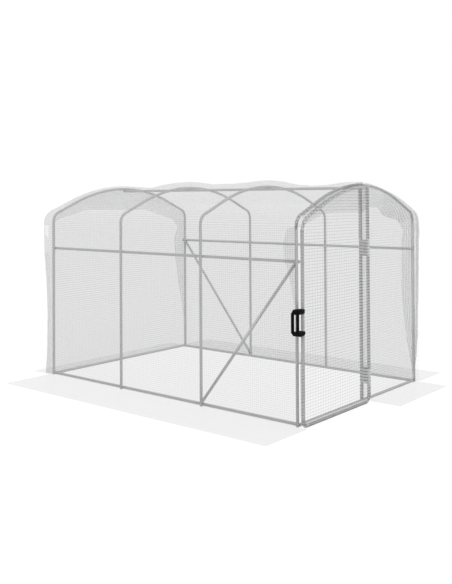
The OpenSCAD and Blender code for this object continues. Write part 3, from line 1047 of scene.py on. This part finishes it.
for hinge in HINGES:
    low, high = (Vector(corner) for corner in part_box(hinge))
    reach = high.x + SLEEVE_SEAT
    sides = [Vector((-reach, FRONT_Y + SLEEVE_BACK)), Vector((-reach, (FRONT_Y + DOOR_Y) / 2))]
    sides += [Vector((-reach * math.cos(a), DOOR_Y - reach * math.sin(a))) for a in SLEEVE_TURNS]
    lengths = lengths_along(sides)
    heights = spaced([low.z + SLEEVE_END, high.z - SLEEVE_END], OUTLINE_STEP)
    sleeve = sheet_object(
        hinge + "_sleeve", [[Vector((side.x, side.y, z)) for side in sides] for z in heights],
        [[(length, z) for length in lengths] for z in heights])
    declare_film(sleeve, FILM["post"], "tunnel")

# %% [markdown]
# Over the door the near bow is wrapped tight. A thicker tube would hide the threads, so
# it is a rolled edge with no slack.

# %% Film along the near bow
BOW_END = 0.02

bow_runs = spaced([AT_EAVE - BOW_END, AT_SLOPE, AT_CROWN, AT_APEX - BOW_END], OUTLINE_STEP)
bow_line = [(*place, *normal) for place, normal in (hoop_line(run) for run in bow_runs)]
rolled_edge("bow_hem", "tunnel", bow_line, FRONT_Y, no_slack, FILM["arch"])

# %% [markdown]
# The steel has a dull grey coating and the handle a fine grain. A flat colour would
# make both look alike, so soft noise moves the colour, the roughness and a slight bump.
# The CAD nodes keep their meshes and get the finish of their slot.

# %% Soft mottle for steel and plastic


def make_mottle_group():
    """Soft blotches over a surface: a colour between two, a roughness and a height."""
    tree = bpy.data.node_groups.new("soft_mottle", "ShaderNodeTree")
    link = tree.links.new
    given, made = group_sockets(tree, [
        ("Light", "Color", (0.5, 0.5, 0.5, 1)), ("Dark", "Color", (0.4, 0.4, 0.4, 1)),
        ("Scale", "Float", 40.0), ("Roughness Low", "Float", 0.4), ("Roughness High", "Float", 0.5)],
        [("Color", "Color"), ("Roughness", "Float"), ("Height", "Float")])
    cloud = shader_node(tree, "TexNoise", Detail=4.0)
    link(shader_node(tree, "TexCoord").outputs["Object"], cloud.inputs["Vector"])
    link(given["Scale"], cloud.inputs["Scale"])
    tone = shader_node(tree, "Mix")
    tone.data_type = "RGBA"
    link(cloud.outputs["Fac"], tone.inputs["Factor"])
    link(given["Dark"], tone.inputs["A"])
    link(given["Light"], tone.inputs["B"])
    link(tone.outputs["Result"], made["Color"])
    rough = shader_node(tree, "MapRange")
    link(cloud.outputs["Fac"], rough.inputs["Value"])
    link(given["Roughness Low"], rough.inputs["To Min"])
    link(given["Roughness High"], rough.inputs["To Max"])
    link(rough.outputs["Result"], made["Roughness"])
    link(cloud.outputs["Fac"], made["Height"])
    return tree


MOTTLE = make_mottle_group()
print("node group", MOTTLE.name)

# %% Steel and plastic finishes
BUMP_DEPTH = 0.001
GRIP_SHINE = 0.03


def mottled_material(name, light, dark, scale, rough, bump):
    """A coated surface between two colours, with a roughness range and a slight bump."""
    made = bpy.data.materials.new(name)
    made.use_nodes = True
    tree, link = made.node_tree, made.node_tree.links.new
    shader = tree.nodes["Principled BSDF"]
    group = shader_node(tree, "Group", MOTTLE, Light=(*light, 1), Dark=(*dark, 1), Scale=scale,
                        Roughness_Low=rough[0], Roughness_High=rough[1])
    link(group.outputs["Color"], shader.inputs["Base Color"])
    link(group.outputs["Roughness"], shader.inputs["Roughness"])
    raised = shader_node(tree, "Bump", Strength=bump, Distance=BUMP_DEPTH)
    link(group.outputs["Height"], raised.inputs["Height"])
    link(raised.outputs["Normal"], shader.inputs["Normal"])
    return made


STEEL = mottled_material(
    "grey_steel", (0.55, 0.55, 0.555), (0.48, 0.48, 0.485), 60.0, (0.40, 0.52), 0.1)
HINGE_STEEL = mottled_material(
    "hinge_steel", (0.60, 0.60, 0.605), (0.53, 0.53, 0.535), 90.0, (0.42, 0.55), 0.15)
BLACK_PLASTIC = mottled_material(
    "black_grip", (0.005, 0.005, 0.005), (0.002, 0.002, 0.002), 300.0, (0.5, 0.65), 0.2)
grip_shader = BLACK_PLASTIC.node_tree.nodes["Principled BSDF"]
grip_shader.inputs["Specular IOR Level"].default_value = GRIP_SHINE
SLOT_FINISH = {"steel_tube": STEEL, "hinge_steel": HINGE_STEEL,
               "handle_plastic": BLACK_PLASTIC, "cover_film": FILM["cover"]}
for part in frame["record"]["subparts"]:
    for slot in frame["nodes"][part["node"]].material_slots:
        slot.material = SLOT_FINISH[part["material_slot"]]

# %% [markdown]
# The handle is a black moulding with a grip for each face of the door. The CAD node has
# its true shape but sharp edges, so a copy is merged and its edges are bevelled. The
# latch's knob on its lower arm is pressed in at the front, so it doesn't read as a pin.

# %% Handle with rounded edges
EDGE_ROUND = 0.0035
SMOOTH_UNDER = math.radians(35)
MERGE_UNDER, FLAT_UNDER = 1e-6, math.radians(2)


def round_edges(obj, width, segments, over):
    """Bevel the edges that turn over an angle in degrees, and shade the faces smooth."""
    rounding = obj.modifiers.new("rounding", "BEVEL")
    rounding.width, rounding.segments = width, segments
    rounding.limit_method, rounding.angle_limit = "ANGLE", math.radians(over)
    bpy.ops.object.modifier_apply(modifier=rounding.name)
    bpy.ops.object.shade_smooth_by_angle(angle=SMOOTH_UNDER)


handle = frame["nodes"]["door_handle"].copy()
handle.data = handle.data.copy()
handle.name = "moulded_handle"
bpy.context.scene.collection.objects.link(handle)
only(handle)
bpy.ops.object.mode_set(mode="EDIT")
bpy.ops.mesh.select_all(action="SELECT")
bpy.ops.mesh.remove_doubles(threshold=MERGE_UNDER)
bpy.ops.mesh.dissolve_limited(angle_limit=FLAT_UNDER)
bpy.ops.object.mode_set(mode="OBJECT")
round_edges(handle, EDGE_ROUND, segments=3, over=40)
handle.data.materials.clear()
handle.data.materials.append(BLACK_PLASTIC)
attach(handle, "door")
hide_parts("door_handle")
print("handle", len(handle.data.polygons), "faces")

# %% Turn knob on the lower arm
KNOB_R, KNOB_LEN = 0.009, 0.014
KNOB_SIDES = 24
KNOB_RIM = KNOB_R * 0.35
KNOB_DISH = 0.002
KNOB_ROUND = 0.0015
FACES_FRONT = -0.9
KNOB_AT = Vector((LOCK_X - 0.012, handle_low.y + 0.0135, handle_low.z + ARM_H * 0.62))

bpy.ops.object.select_all(action="DESELECT")
bpy.ops.mesh.primitive_cylinder_add(
    vertices=KNOB_SIDES, radius=KNOB_R, depth=KNOB_LEN, location=KNOB_AT, rotation=(math.pi / 2, 0, 0))
knob = bpy.context.object
knob.name = "latch_knob"
bpy.ops.object.transform_apply(location=True, rotation=True, scale=True)
bpy.ops.object.mode_set(mode="EDIT")
bpy.ops.mesh.select_all(action="DESELECT")
bpy.ops.object.mode_set(mode="OBJECT")
for polygon in knob.data.polygons:
    polygon.select = polygon.normal.y < FACES_FRONT
bpy.ops.object.mode_set(mode="EDIT")
bpy.ops.mesh.inset(thickness=KNOB_RIM, depth=0.0)
bpy.ops.mesh.extrude_region_move(TRANSFORM_OT_translate={"value": (0, KNOB_DISH, 0)})
bpy.ops.object.mode_set(mode="OBJECT")
round_edges(knob, KNOB_ROUND, segments=2, over=30)
knob.data.materials.append(BLACK_PLASTIC)
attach(knob, "door")
print("knob", len(knob.data.polygons), "faces")
